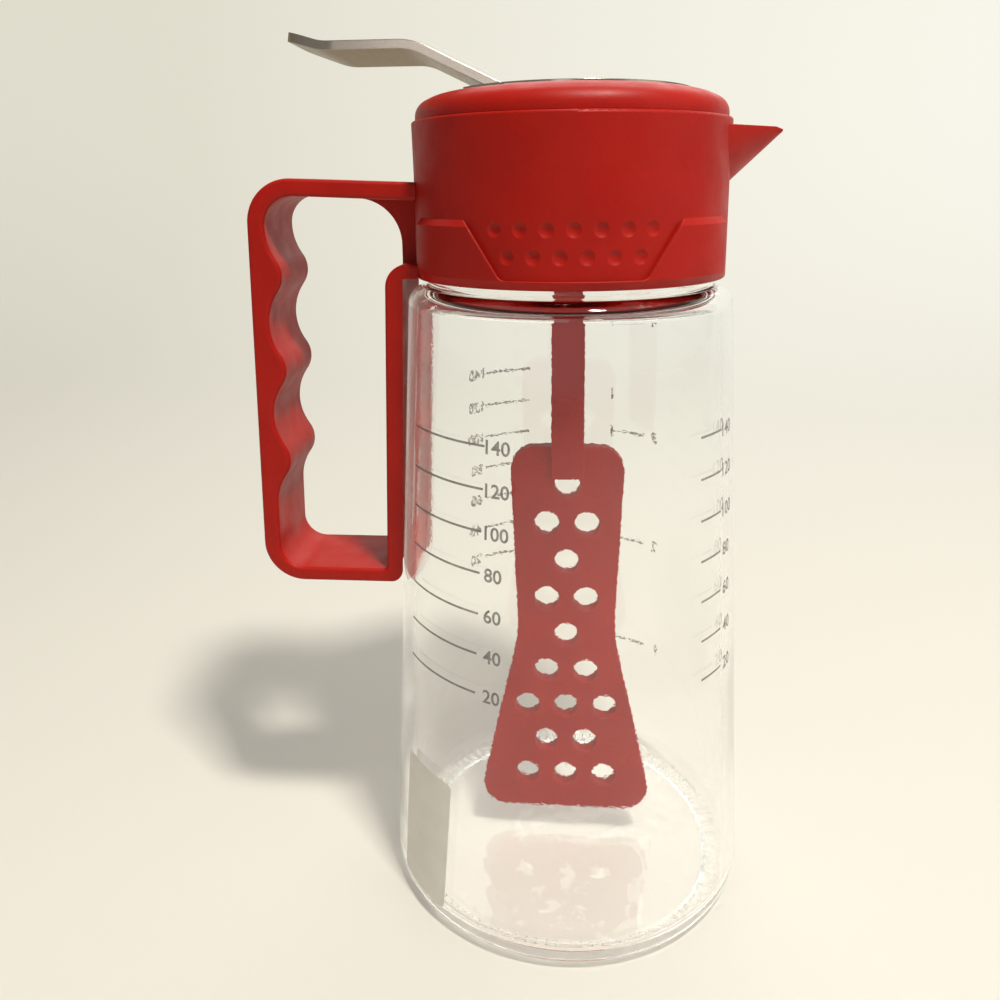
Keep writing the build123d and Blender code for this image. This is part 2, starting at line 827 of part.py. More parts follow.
def make_mixing_paddle():
    """Waisted blade with rows of holes, under a stem with a socket for the rod."""
    waist = (blade_top + blade_bottom) / 2
    half_top = blade_top_width / 2
    half_waist = blade_waist_width / 2
    half_foot = blade_foot_width / 2
    half_stem = stem_width / 2
    blade = side_plate([
        (half_top, blade_top, blade_corner),
        (half_waist, waist, blade_foot_width),
        (half_foot, blade_bottom, blade_corner),
        (-half_foot, blade_bottom, blade_corner),
        (-half_waist, waist, blade_foot_width),
        (-half_top, blade_top, blade_corner),
    ], blade_thickness)
    for hole in blade_holes():
        blade = blade - hole
    shoulder = stem_width / 6
    stem = extrude(Plane.XZ * rounded_face([
        (-half_stem, blade_top - stem_width, 0),
        (half_stem, blade_top - stem_width, 0),
        (half_stem, stem_top - shoulder, 0),
        (half_stem - shoulder / 2, stem_top, 0),
        (-half_stem + shoulder / 2, stem_top, 0),
        (-half_stem, stem_top - shoulder, 0),
    ]), amount=stem_thickness / 2, both=True)
    paddle = blade + stem
    paddle = paddle - rod_passage(stem_top - socket_depth, stem_top + overrun, touch_gap)
    pin_radius = paddle_pin_diameter / 2 + pin_gap
    return paddle - long_rod(pin_radius, 2 * stem_width, paddle_pin_height())


def make_pour_cup():
    """Cup in the glass mouth: flange, wall, floor with ports and the rod's guide."""
    inner_radius = cup_radius - cup_wall
    cup = turned([
        (0, cup_bottom, 0),
        (cup_radius, cup_bottom, cup_wall),
        (cup_radius, cup_flange_bottom, 0),
        (cup_flange_radius, cup_flange_bottom, 0),
        (cup_flange_radius, cup_flange_top, 0),
        (inner_radius, cup_flange_top, 0),
        (inner_radius, cup_floor_top, 0),
        (0, cup_floor_top, 0),
    ])
    port = upright(port_diameter / 2, cup_bottom - overrun, cup_floor_top + overrun)
    for index in range(port_count):
        angle = 360 * (index + 0.5) / port_count
        cup = cup - Rot(0, 0, angle) * (Pos(port_circle_radius, 0, 0) * port)
    return cup - rod_passage(cup_bottom - overrun, cup_floor_top + overrun, rod_gap)


def ring_between(inner, outer, bottom, top):
    """Flat ring with square edges."""
    return turned([(inner, bottom, 0), (outer, bottom, 0), (outer, top, 0), (inner, top, 0)])


def make_mouth_gasket():
    """Soft ring between the glass lip and the cup's flange."""
    outer = neck_radius - touch_gap
    return ring_between(outer - gasket_width, outer, gasket_bottom, cup_flange_bottom)


def make_valve_disc():
    """Soft disc on the rod that covers the ports from above."""
    disc = turned([
        (0, valve_bottom, 0),
        (valve_radius, valve_bottom, 0),
        (valve_radius, valve_top, valve_thickness / 3),
        (0, valve_top, 0),
    ])
    return disc - rod_passage(valve_bottom - overrun, valve_top + overrun, touch_gap)


def make_spring_bridge():
    """Ring clamped over the cup, with an arch that carries the spring's upper seat."""
    ring_outer = collar_bore - 2 * seat_gap - touch_gap
    ring_inner = ring_outer - bridge_ring_width
    bridge = ring_between(ring_inner, ring_outer, cup_flange_top, bridge_ring_top)
    leg_outer = collar_bore - ledge_reach - seat_gap - bridge_leg_thickness / 3
    half_bar = bridge_bar_width / 2
    leg = block(
        (-half_bar, leg_outer - bridge_leg_thickness, cup_flange_top),
        (half_bar, leg_outer, bridge_top),
    )
    bridge = bridge + leg + leg.mirror(Plane.XZ)
    bar = block((-half_bar, -leg_outer, bridge_underside), (half_bar, leg_outer, bridge_top))
    bridge = bridge + bar + upright(bridge_hub_radius, bridge_underside, bridge_top)
    return bridge - rod_passage(bridge_underside - overrun, bridge_top + overrun, rod_gap)


def make_return_spring():
    """Coil spring between the rod's collar and the bridge, its ends cut flat."""
    low = rod_collar_top + touch_gap + spring_wire / 2
    high = bridge_underside - touch_gap - spring_wire / 2
    pitch = (high - low) / spring_turns
    path = Pos(0, 0, low) * Helix(pitch=pitch, height=high - low, radius=spring_radius)
    start = path @ 0
    along = path % 0
    section = Plane(origin=start, z_dir=along) * Circle(spring_wire / 2)
    return sweep(section, path=path)


def save(name, shape):
    """Write one node as a STEP file."""
    export_step(shape, "parts/" + name + ".step")


os.makedirs("parts", exist_ok=True)
nodes = {
    "glass_bottle": make_glass(),
    "lid_collar": make_collar(),
    "handle": make_handle(),
    "handle_screws": Compound(make_handle_screws()),
    "cap_ring": make_cap_ring(),
    "hinge_pin": make_hinge_pin(),
    "lever_plate": make_lever_plate(),
    "plate_screws": Compound(make_plate_screws()),
    "lever_carrier": make_lever_carrier(),
    "rod_pin": make_rod_pin(),
    "mixing_rod": make_mixing_rod(),
    "paddle_pin": make_paddle_pin(),
    "mixing_paddle": make_mixing_paddle(),
    "pour_cup": make_pour_cup(),
    "mouth_gasket": make_mouth_gasket(),
    "valve_disc": make_valve_disc(),
    "spring_bridge": make_spring_bridge(),
    "return_spring": make_return_spring(),
}
for name, shape in nodes.items():
    save(name, shape)
print("rod lift per lever angle, mm:", rod_lift, "over", lever_travel, "degrees")
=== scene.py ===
# Looks of a salad dressing shaker bottle: clear glass, red pour lid with a side handle,
# steel thumb lever and a red mixing paddle on a rod. Sizes are in millimetres, and meshes
# are written in metres by put_mesh.

import json
import logging
from dataclasses import dataclass
from enum import Enum
from math import cos, pi, radians, sin, tan, tau

import bmesh
import bpy
import numpy as np
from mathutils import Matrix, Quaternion, Vector

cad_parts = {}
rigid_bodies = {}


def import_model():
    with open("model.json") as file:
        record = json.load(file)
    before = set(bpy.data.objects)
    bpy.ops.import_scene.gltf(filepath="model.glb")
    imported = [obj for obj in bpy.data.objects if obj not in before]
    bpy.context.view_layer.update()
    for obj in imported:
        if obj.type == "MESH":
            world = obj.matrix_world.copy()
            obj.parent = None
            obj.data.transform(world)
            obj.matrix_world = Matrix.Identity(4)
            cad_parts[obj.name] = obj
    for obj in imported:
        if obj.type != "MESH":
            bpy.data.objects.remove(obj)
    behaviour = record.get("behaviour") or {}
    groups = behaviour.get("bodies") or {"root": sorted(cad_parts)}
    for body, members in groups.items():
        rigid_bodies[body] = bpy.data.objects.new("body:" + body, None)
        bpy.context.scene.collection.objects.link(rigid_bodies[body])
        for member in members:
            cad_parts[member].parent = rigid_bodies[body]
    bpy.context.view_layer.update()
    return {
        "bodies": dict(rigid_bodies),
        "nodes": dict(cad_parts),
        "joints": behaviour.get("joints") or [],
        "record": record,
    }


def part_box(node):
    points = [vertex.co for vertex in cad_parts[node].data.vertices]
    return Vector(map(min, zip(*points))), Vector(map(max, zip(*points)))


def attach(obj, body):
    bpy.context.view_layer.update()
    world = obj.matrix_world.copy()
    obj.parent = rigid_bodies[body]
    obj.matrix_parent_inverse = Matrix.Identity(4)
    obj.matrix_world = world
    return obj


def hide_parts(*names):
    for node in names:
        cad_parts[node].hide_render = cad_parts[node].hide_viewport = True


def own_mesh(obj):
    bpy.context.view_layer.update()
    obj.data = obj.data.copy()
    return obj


MM = 0.001
WELD_DISTANCE = 1e-6  # metres
LEAST_ARC_POINTS = 3
NONE_YET = 0.5  # of a ray's whole counts, only 0 is below it
Colour = tuple[float, float, float]
Place = tuple[float, float, float]
Range = tuple[float, float]
Patch = tuple[np.ndarray, np.ndarray]
log = logging.getLogger("shaker")


class Body(Enum):
    """The rigid bodies that pieces made here ride on."""

    BOTTLE = "bottle"
    LID = "lid"


class Slot(Enum):
    """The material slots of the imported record."""

    GLASS = "clear_glass"
    RED = "red_plastic"
    ROUGH_RED = "red_rough_plastic"
    SATIN_STEEL = "satin_steel"
    BRIGHT_STEEL = "bright_steel"
    SILICONE = "white_silicone"


def put_mesh(name: str, points: np.ndarray, faces: np.ndarray, merge: bool = False,
             marks: dict[str, np.ndarray] | None = None) -> bpy.types.Object:
    """Puts a surface of equal-sided faces into a smooth-shaded object at the origin.

    Args:
        name: the piece's name.
        points: corner positions in millimetres, one row each.
        faces: corner numbers, one face a row.
        merge: joins corners that share one place, which closes poles and seams.
        marks: values from 0 to 1 for each corner, kept as named attributes for the material.

    Returns:
        The new object, linked to the scene.
    """
    mesh = bpy.data.meshes.new(name)
    mesh.vertices.add(len(points))
    mesh.vertices.foreach_set("co", (points * MM).astype(np.float32).ravel())
    mesh.loops.add(faces.size)
    mesh.loops.foreach_set("vertex_index", faces.astype(np.int32).ravel())
    mesh.polygons.add(len(faces))
    starts = np.arange(len(faces), dtype=np.int32) * faces.shape[1]
    mesh.polygons.foreach_set("loop_start", starts)
    mesh.polygons.foreach_set("use_smooth", np.ones(len(faces), bool))
    mesh.update(calc_edges=True)
    for key, values in (marks or {}).items():
        attribute = mesh.attributes.new(key, "FLOAT", "POINT")
        attribute.data.foreach_set("value", values.astype(np.float32))
    mesh.validate()
    if merge:
        weld(mesh)
    piece = bpy.data.objects.new(name, mesh)
    bpy.context.scene.collection.objects.link(piece)
    return piece


def weld(mesh: bpy.types.Mesh) -> None:
    """Joins corners that share one place and drops the faces that close up."""
    work = bmesh.new()
    work.from_mesh(mesh)
    bmesh.ops.remove_doubles(work, verts=work.verts, dist=WELD_DISTANCE)
    bmesh.ops.dissolve_degenerate(work, edges=work.edges, dist=WELD_DISTANCE)
    work.to_mesh(mesh)
    work.free()


def grid_faces(rows: int, columns: int, closed: bool = False) -> np.ndarray:
    """Quads over a grid of corners numbered row by row.

    Args:
        rows: rows of corners.
        columns: corners in a row.
        closed: joins the last column to the first.

    Returns:
        Four corner numbers a row.
    """
    column = np.arange(columns if closed else columns - 1)
    i, j = np.meshgrid(np.arange(rows - 1), column, indexing="ij")
    beside = (j + 1) % columns
    here, above = i * columns, (i + 1) * columns
    corners = (here + j, here + beside, above + beside, above + j)
    return np.stack([corner.ravel() for corner in corners], axis=1)


def rounded_line(corners: list[Place], step: float = radians(9)) -> np.ndarray:
    """Path through corners (x, y, round), each corner with a round replaced by its tangent arc.

    The arc's centre lies on the bisector at round / sin(half angle), and it leaves each run
    at round / tan(half angle) from the corner.

    Args:
        corners: the path's corners in order; the ends take no round.
        step: the largest angle between two points of an arc.

    Returns:
        Points of the path, one row each.
    """
    points = []
    for index, (x, y, size) in enumerate(corners):
        corner = np.array([x, y])
        if size <= 0 or index in (0, len(corners) - 1):
            points.append(corner[None, :])
            continue
        before = np.array(corners[index - 1][:2]) - corner
        after = np.array(corners[index + 1][:2]) - corner
        before, after = before / np.linalg.norm(before), after / np.linalg.norm(after)
        half = np.arccos(np.clip(before @ after, -1, 1)) / 2
        bisector = (before + after) / np.linalg.norm(before + after)
        centre = corner + bisector * size / np.sin(half)
        first = corner + before * size / np.tan(half) - centre
        last = corner + after * size / np.tan(half) - centre
        sweep = pi - 2 * half
        count = max(LEAST_ARC_POINTS, int(sweep / step) + 2)
        turn = np.sign(first[0] * last[1] - first[1] * last[0])
        angle = np.arctan2(first[1], first[0]) + turn * np.linspace(0, sweep, count)
        points.append(centre + size * np.stack([np.cos(angle), np.sin(angle)], axis=1))
    return np.concatenate(points)


def lathe(name: str, profile: np.ndarray, segments: int,
          marks: dict[str, np.ndarray] | None = None) -> bpy.types.Object:
    """Surface of revolution about Z: corner (i, j) is at radius r(i), height z(i), angle tau j / n.

    Args:
        name: the piece's name.
        profile: points (radius, height) from the lower pole round to the upper one.
        segments: corners round each ring.
        marks: values from 0 to 1 for each point of the profile, by name.

    Returns:
        The new object, its poles closed.
    """
    angle = np.arange(segments) * tau / segments
    radius, height = profile[:, :1], profile[:, 1:]
    x, y = radius * np.cos(angle), radius * np.sin(angle)
    z = np.broadcast_to(height, x.shape)
    points = np.stack([x, y, z], axis=2).reshape(-1, 3)
    spread = {key: np.repeat(values, segments) for key, values in (marks or {}).items()}
    faces = grid_faces(len(profile), segments, closed=True)
    return put_mesh(name, points, faces, merge=True, marks=spread)


def tube(name: str, rings: np.ndarray) -> bpy.types.Object:
    """Closed tube through rings of corners, each end drawn together in the mean of its ring.

    Args:
        name: the piece's name.
        rings: corners in millimetres, by ring, corner and axis.

    Returns:
        The new object, its ends closed.
    """
    count, sides = rings.shape[:2]
    first, last = (np.repeat(rings[k].mean(axis=0)[None, None], sides, 1) for k in (0, -1))
    points = np.concatenate([first, rings, last]).reshape(-1, 3)
    faces = grid_faces(count + 2, sides, closed=True)[:, ::-1]
    return put_mesh(name, points, faces, merge=True)


def settle(piece: bpy.types.Object, body: Body) -> None:
    """Lets a piece ride on a body, and reports it."""
    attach(piece, body.value)
    log.info("%s: %d faces", piece.name, len(piece.data.polygons))


def shade(colour: Colour, share: float) -> Colour:
    """Colour with each part at a share of its value."""
    return tuple(part * share for part in colour)


@dataclass(frozen=True)
class Grain:
    """Noise of a grain size in millimetres, drawn out along the axes where stretch is below 1."""

    size: float
    detail: float = 3.0
    stretch: Place = (1, 1, 1)


class Nodes:
    """Makes and joins nodes in one node tree."""

    def __init__(self, tree: bpy.types.NodeTree) -> None:
        """Keeps the tree that the nodes go into."""
        self.tree = tree

    def join(self, source: bpy.types.NodeSocket, target: bpy.types.NodeSocket) -> None:
        """Links two sockets."""
        self.tree.links.new(source, target)

    def math(self, kind: str, first: bpy.types.NodeSocket, second: object) -> bpy.types.NodeSocket:
        """Math node of a kind on a value and a second value or number."""
        node = self.tree.nodes.new("ShaderNodeMath")
        node.operation = kind
        self.join(first, node.inputs[0])
        if isinstance(second, (int, float)):
            node.inputs[1].default_value = second
        else:
            self.join(second, node.inputs[1])
        return node.outputs["Value"]

    def rays(self) -> bpy.types.NodeOutputs:
        """What is known of the ray that reads the shader."""
        return self.tree.nodes.new("ShaderNodeLightPath").outputs

    def unscattered(self, rays: bpy.types.NodeOutputs) -> bpy.types.NodeSocket:
        """1 for a ray that no matt surface has scattered yet, otherwise 0."""
        return self.math("LESS_THAN", rays["Diffuse Depth"], NONE_YET)


class Recipe(Nodes):
    """One node material, built up from its shader backwards."""

    bevel_samples = 6

    def __init__(self, name: str) -> None:
        """Starts a material with a plain Principled shader and Object coordinates."""
        self.material = bpy.data.materials.new(name)
        self.material.use_nodes = True
        super().__init__(self.material.node_tree)
        self.shader = self.tree.nodes["Principled BSDF"]
        self.place = self.tree.nodes.new("ShaderNodeTexCoord").outputs["Object"]

    def set(self, **values: object) -> None:
        """Sets shader sockets by name, with underscores for spaces."""
        for key, value in values.items():
            socket = self.shader.inputs[key.replace("_", " ")]
            socket.default_value = (*value, 1.0) if isinstance(value, tuple) else value

    def feed(self, socket: str, source: bpy.types.NodeSocket) -> None:
        """Links a source to one of the shader's sockets."""
        self.join(source, self.shader.inputs[socket])

    def noise(self, grain: Grain) -> bpy.types.NodeSocket:
        """The value, from 0 to 1, of noise with a grain."""
        mapping = self.tree.nodes.new("ShaderNodeMapping")
        mapping.inputs["Scale"].default_value = grain.stretch
        self.join(self.place, mapping.inputs["Vector"])
        noise = self.tree.nodes.new("ShaderNodeTexNoise")
        noise.inputs["Scale"].default_value = 1 / (grain.size * MM)
        noise.inputs["Detail"].default_value = grain.detail
        self.join(mapping.outputs["Vector"], noise.inputs["Vector"])
        return noise.outputs["Fac"]

    def span(self, source: bpy.types.NodeSocket, low: float, high: float,
             start: float = 0.3, end: float = 0.7) -> bpy.types.NodeSocket:
        """Stretches the part of a value between start and end to run from low to high."""
        node = self.tree.nodes.new("ShaderNodeMapRange")
        limits = {"From Min": start, "From Max": end, "To Min": low, "To Max": high}
        for key, value in limits.items():
            node.inputs[key].default_value = value
        self.join(source, node.inputs["Value"])
        return node.outputs["Result"]

    def blend(self, factor: bpy.types.NodeSocket, first: object,
              second: object) -> bpy.types.NodeSocket:
        """Mixes two colours, each a colour or a socket, by a factor."""
        node = self.tree.nodes.new("ShaderNodeMix")
        node.data_type = "RGBA"
        self.join(factor, node.inputs[0])
        for socket, value in ((node.inputs[6], first), (node.inputs[7], second)):
            if isinstance(value, tuple):
                socket.default_value = (*value, 1.0)
            else:
                self.join(value, socket)
        return node.outputs[2]

    def patchy(self, grain: Grain, share: float, first: object,
               second: object) -> bpy.types.NodeSocket:
        """Colour that turns from the first to a share of the second in patches of a grain."""
        return self.blend(self.span(self.noise(grain), 0, share), first, second)

    def roughen(self, grain: Grain, limits: Range) -> None:
        """Lets the roughness wander between two limits."""
        self.feed("Roughness", self.span(self.noise(grain), *limits))

    def relief(self, height: bpy.types.NodeSocket, depth: float,
               under: object = None) -> bpy.types.NodeSocket:
        """Bump of a depth in millimetres, laid over another normal if one is given."""
        node = self.tree.nodes.new("ShaderNodeBump")
        node.inputs["Strength"].default_value = 1.0
        node.inputs["Distance"].default_value = depth * MM
        self.join(height, node.inputs["Height"])
        if under is not None:
            self.join(under, node.inputs["Normal"])
        return node.outputs["Normal"]

    def mark(self, name: str) -> bpy.types.NodeSocket:
        """Value of a named attribute of the mesh."""
        node = self.tree.nodes.new("ShaderNodeAttribute")
        node.attribute_name = name
        return node.outputs["Fac"]

    def axes(self) -> bpy.types.NodeOutputs:
        """The place's X, Y and Z in metres."""
        node = self.tree.nodes.new("ShaderNodeSeparateXYZ")
        self.join(self.place, node.inputs["Vector"])
        return node.outputs

    def measure(self, kind: str, *vectors: bpy.types.NodeSocket) -> bpy.types.NodeSocket:
        """The number that a kind of Vector Math node finds for one or two vectors."""
        node = self.tree.nodes.new("ShaderNodeVectorMath")
        node.operation = kind
        for index, vector in enumerate(vectors):
            self.join(vector, node.inputs[index])
        return node.outputs["Value"]

    def spokes(self, count: int) -> bpy.types.NodeSocket:
        """Value that runs from 0 up to 1 and back once for each of count equal sectors about Z."""
        axes = self.axes()
        angle = self.math("ARCTAN2", axes["Y"], axes["X"])
        return self.math("PINGPONG", self.math("MULTIPLY", angle, count / pi), 1.0)

    def light_passes(self, share: float, mirrors: int) -> bpy.types.NodeSocket:
        """Opacity of 1 that lets light straight through as clear glass does.

        Light caught between two walls leaves the glass once it has been mirrored often enough,
        or has met twice as many surfaces and two more. Both counts are read half a step below.

        Args:
            share: the share of the lamps' light that passes.
            mirrors: reflections after which caught light leaves the glass.

        Returns:
            The opacity: one minus the larger of both shares that pass.
        """
        rays = self.rays()
        lamp = self.math("MULTIPLY", rays["Is Shadow Ray"], share)
        caught = self.math("GREATER_THAN", rays["Glossy Depth"], mirrors - 0.5)
        long_way = self.math("GREATER_THAN", rays["Ray Depth"], 2 * mirrors + 2 - 0.5)
        passed = self.math("MAXIMUM", lamp, self.math("MAXIMUM", caught, long_way))
        return self.span(passed, 1.0, 0.0, 0, 1)

    def soft_edges(self, radius: float) -> bpy.types.NodeSocket:
        """Normal that rounds sharp edges over a radius in millimetres."""
        node = self.tree.nodes.new("ShaderNodeBevel")
        node.samples = self.bevel_samples
        node.inputs["Radius"].default_value = radius * MM
        return node.outputs["Normal"]

    def edge_mask(self, radius: float, sharp: float = 0.82) -> bpy.types.NodeSocket:
        """Mask of the edges, from the dot product of the rounded and the true normal.

        Args:
            radius: the edges' round in millimetres.
            sharp: the product at which the mask reaches 1.

        Returns:
            The mask, which is 0 where both normals agree.
        """
        true = self.tree.nodes.new("ShaderNodeNewGeometry").outputs["Normal"]
        product = self.measure("DOT_PRODUCT", self.soft_edges(radius), true)
        return self.span(product, 1.0, 0.0, sharp, 1.0)

    def show_mix(self, share: bpy.types.NodeSocket, first: bpy.types.NodeSocket,
                 second: bpy.types.NodeSocket) -> None:
        """Makes the material show its first shader but for a share of the second."""
        mix = self.tree.nodes.new("ShaderNodeMixShader")
        for index, source in enumerate((share, first, second)):
            self.join(source, mix.inputs[index])
        self.join(mix.outputs["Shader"], self.tree.nodes["Material Output"].inputs["Surface"])


@dataclass(frozen=True)
class MouldedPlastic:
    """Matt moulded plastic with a spark-eroded grain, faint flow clouds and paler edges, which are
    a painted highlight.
    """

    name: str
    colour: Colour
    deep: Colour
    # Paler colour blended in along the edges: a painted highlight.
    worn: Colour
    roughness: Range = (0.40, 0.54)
    grain: Grain = Grain(0.45, 4)
    grain_depth: float = 0.025
    clouds: Grain = Grain(14, 4)
    speckle: Grain = Grain(0.7, 2)
    speckle_share: float = 0.35
    smears: Grain = Grain(5, 5)
    gloss: float = 0.25
    # Width of the edge mask that carries the painted highlight.
    worn_width: float = 0.35
    edge_round: float = 0.3

    def material(self) -> bpy.types.Material:
        """Builds the finish.

        Returns:
            The node material.
        """
        recipe = Recipe(self.name)
        recipe.set(Specular_IOR_Level=self.gloss)
        cloudy = recipe.patchy(self.clouds, 1, self.colour, self.deep)
        tone = recipe.patchy(self.speckle, self.speckle_share, cloudy, self.deep)
        # Painted highlight: the colour turns towards the paler edge colour along the edge mask.
        edges = recipe.edge_mask(self.worn_width)
        recipe.feed("Base Color", recipe.blend(edges, tone, self.worn))
        recipe.roughen(self.smears, self.roughness)
        rounded = recipe.soft_edges(self.edge_round)
        recipe.feed("Normal", recipe.relief(recipe.noise(self.grain), self.grain_depth, rounded))
        return recipe.material


@dataclass(frozen=True)
class BottleGlass:
    """Clear pressed glass: faint waves, fine steps on the inner wall, knurled bearing ring.

    The mesh marks where the steps, the swirls and the knurls lie, with its attributes inside,
    base and bearing.
    """

    name: str
    colour: Colour = (0.995, 1.0, 0.995)
    refraction: float = 1.5
    roughness: Range = (0.0048, 0.0288)
    lamp_share: float = 0.4
    mirrors: int = 2
    smears: Grain = Grain(9, 6, (1, 1, 0.4))
    waves: Grain = Grain(16, 1, (1, 1, 0.35))
    wave_depth: float = 0.10
    swirls: Grain = Grain(14, 2)
    swirl_depth: float = 0.8
    steps: Grain = Grain(0.6, 1, (0.8, 0.8, 1))
    step_depth: float = 0.009
    knurls: int = 104
    knurl_flank: Range = (0.55, 0.9)
    knurl_depth: float = 0.30

    def material(self) -> bpy.types.Material:
        """Builds the finish.

        Returns:
            The node material.
        """
        recipe = Recipe(self.name)
        recipe.set(Base_Color=self.colour, Transmission_Weight=1.0, IOR=self.refraction)
        recipe.roughen(self.smears, self.roughness)
        recipe.feed("Alpha", recipe.light_passes(self.lamp_share, self.mirrors))
        normal = recipe.relief(recipe.noise(self.waves), self.wave_depth)
        ridges = recipe.span(recipe.spokes(self.knurls), 0, 1, *self.knurl_flank)
        for height, place, depth in (
            (recipe.noise(self.swirls), "base", self.swirl_depth),
            (recipe.noise(self.steps), "inside", self.step_depth),
            (ridges, "bearing", self.knurl_depth),
        ):
            raised = recipe.math("MULTIPLY", height, recipe.mark(place))
            normal = recipe.relief(raised, depth, normal)
        recipe.feed("Normal", normal)
        return recipe.material


@dataclass(frozen=True)
class RolledSteel:
    """Stainless sheet or wire with brushed lines along one axis and hazy patches.

    The tint is what it mirrors where it is seen at a flat angle.
    """

    name: str
    colour: Colour
    lines: Grain
    flat_tint: Colour = (0.6, 0.56, 0.5)
    roughness: Range = (0.14, 0.28)
    line_depth: float = 0.0025
    haze: Grain = Grain(8, 5)
    haze_share: float = 0.5
    haze_shade: float = 0.82
    edge_round: float = 0.25

    def material(self) -> bpy.types.Material:
        """Builds the finish.

        Returns:
            The node material.
        """
        recipe = Recipe(self.name)
        recipe.set(Metallic=1.0, Specular_Tint=self.flat_tint)
        darker = shade(self.colour, self.haze_shade)
        recipe.feed("Base Color", recipe.patchy(self.haze, self.haze_share, self.colour, darker))
        lines = recipe.noise(self.lines)
        recipe.feed("Roughness", recipe.span(lines, *self.roughness))
        rounded = recipe.soft_edges(self.edge_round)
        recipe.feed("Normal", recipe.relief(lines, self.line_depth, rounded))
        return recipe.material


@dataclass(frozen=True)
class SoftSilicone:
    """Milky silicone rubber, matt, with dust in its pores and light inside it."""

    name: str
    colour: Colour
    dust: Grain = Grain(3, 5)
    dust_shade: float = 0.9
    smears: Grain = Grain(2)
    roughness: Range = (0.5, 0.66)
    pores: Grain = Grain(0.6)
    pore_depth: float = 0.012
    milk_share: float = 0.15
    milk_reach: float = 2.0

    def material(self) -> bpy.types.Material:
        """Builds the finish.

        Returns:
            The node material.
        """
        recipe = Recipe(self.name)
        dusty = shade(self.colour, self.dust_shade)
        recipe.feed("Base Color", recipe.patchy(self.dust, 1, self.colour, dusty))
        recipe.roughen(self.smears, self.roughness)
        recipe.set(Subsurface_Weight=self.milk_share, Subsurface_Scale=self.milk_reach * MM)
        recipe.feed("Normal", recipe.relief(recipe.noise(self.pores), self.pore_depth))
        return recipe.material


@dataclass(frozen=True)
class PrintedInk:
    """Grey ceramic ink baked onto glass, a little patchy and worn thin in places."""

    name: str
    colour: Colour
    patches: Grain = Grain(1.2, 4)
    patch_shade: float = 1.5
    smears: Grain = Grain(0.8)
    roughness: Range = (0.45, 0.7)
    wear: Grain = Grain(0.5)
    cover: Range = (0.7, 1.0)
    grit: Grain = Grain(0.3, 2)
    grit_depth: float = 0.01

    def material(self) -> bpy.types.Material:
        """Builds the finish.

        Returns:
            The node material.
        """
        recipe = Recipe(self.name)
        paler = shade(self.colour, self.patch_shade)
        recipe.feed("Base Color", recipe.patchy(self.patches, 1, self.colour, paler))
        recipe.roughen(self.smears, self.roughness)
        recipe.feed("Alpha", recipe.span(recipe.noise(self.wear), *self.cover))
        recipe.feed("Normal", recipe.relief(recipe.noise(self.grit), self.grit_depth))
        return recipe.material


@dataclass(frozen=True)
class LabelPaper:
    """White coated paper glued to glass, with fibres, faint dirt and a soft sheen."""

    name: str
    colour: Colour
    dirt: Grain = Grain(6, 5)
    dirt_share: float = 0.6
    dirt_shade: float = 0.9
    smears: Grain = Grain(3, 4)
    roughness: Range = (0.38, 0.55)
    fibres: Grain = Grain(0.4, 4)
    fibre_depth: float = 0.008

    def material(self) -> bpy.types.Material:
        """Builds the finish.

        Returns:
            The node material.
        """
        recipe = Recipe(self.name)
        greyer = shade(self.colour, self.dirt_shade)
        recipe.feed("Base Color", recipe.patchy(self.dirt, self.dirt_share, self.colour, greyer))
        recipe.roughen(self.smears, self.roughness)
        recipe.feed("Normal", recipe.relief(recipe.noise(self.fibres), self.fibre_depth))
        return recipe.material


class Finishes:
    """The finishes of the whole part, built once."""

    def __init__(self) -> None:
        """Builds each finish's material."""
        # The third colour of each red is its painted edge highlight.
        lid_red = MouldedPlastic(
            "lid_red", colour=(0.44, 0.008, 0.002), deep=(0.36, 0.005, 0.001),
            worn=(0.54, 0.025, 0.010))
        mixer_red = MouldedPlastic(
            "mixer_red", colour=(0.60, 0.025, 0.020), deep=(0.48, 0.018, 0.014),
            worn=(0.65, 0.06, 0.05), roughness=(0.54, 0.68), grain=Grain(0.7, 4), grain_depth=0.06)
        lever_steel = RolledSteel(
            "lever_steel", colour=(0.46, 0.40, 0.335), lines=Grain(0.12, 3, (1, 0.012, 1)),
            flat_tint=(0.45, 0.38, 0.31))
        pin_steel = RolledSteel(
            "pin_steel", colour=(0.72, 0.72, 0.72), lines=Grain(0.12, 3, (1, 1, 0.1)))
        self.by_slot = {
            Slot.GLASS: BottleGlass("bottle_glass").material(),
            Slot.RED: lid_red.material(),
            Slot.ROUGH_RED: mixer_red.material(),
            Slot.SATIN_STEEL: lever_steel.material(),
            Slot.BRIGHT_STEEL: pin_steel.material(),
            Slot.SILICONE: SoftSilicone("valve_silicone", (0.82, 0.81, 0.78)).material(),
        }
        self.ink = PrintedInk("printed_ink", (0.16, 0.15, 0.14)).material()
        self.paper = LabelPaper("label_paper", (0.88, 0.85, 0.78)).material()

    def dress(self, piece: bpy.types.Object, slot: Slot,
              special: bpy.types.Material | None = None) -> None:
        """Gives a piece one finish in all its material slots, its slot's own or a special one."""
        material = special or self.by_slot[slot]
        if not piece.material_slots:
            piece.data.materials.append(material)
        for place in piece.material_slots:
            place.material = material


